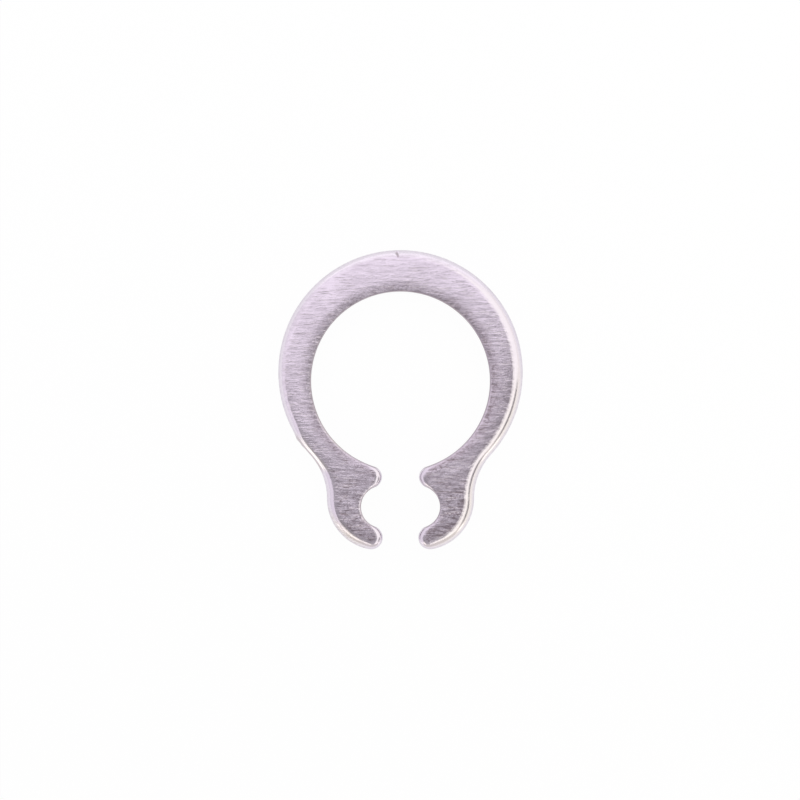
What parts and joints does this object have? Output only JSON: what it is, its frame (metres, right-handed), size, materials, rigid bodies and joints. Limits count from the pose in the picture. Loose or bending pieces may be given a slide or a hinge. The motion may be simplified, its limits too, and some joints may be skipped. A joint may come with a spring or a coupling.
{
  "type": "circlip retaining ring",
  "caption": "External circlip for a small shaft: flat eccentric spring-steel ring, open at a gap between hooked lugs whose open holes take pliers.",
  "frame": {"origin": "axis of the bore on the ring's lower face, the plane that it lies on", "axes": "+Z along the bore axis, up from the lower face; +Y from the gap towards the back of the ring; +X across the lugs"},
  "size_m": [0.0076, 0.0094, 0.0007],
  "materials": {
    "spring_steel": "satin, brushed along one direction, edges tumbled smooth"
  },
  "bodies": {
    "root": {"retaining_ring": "spring_steel"}
  },
  "joints": []
}
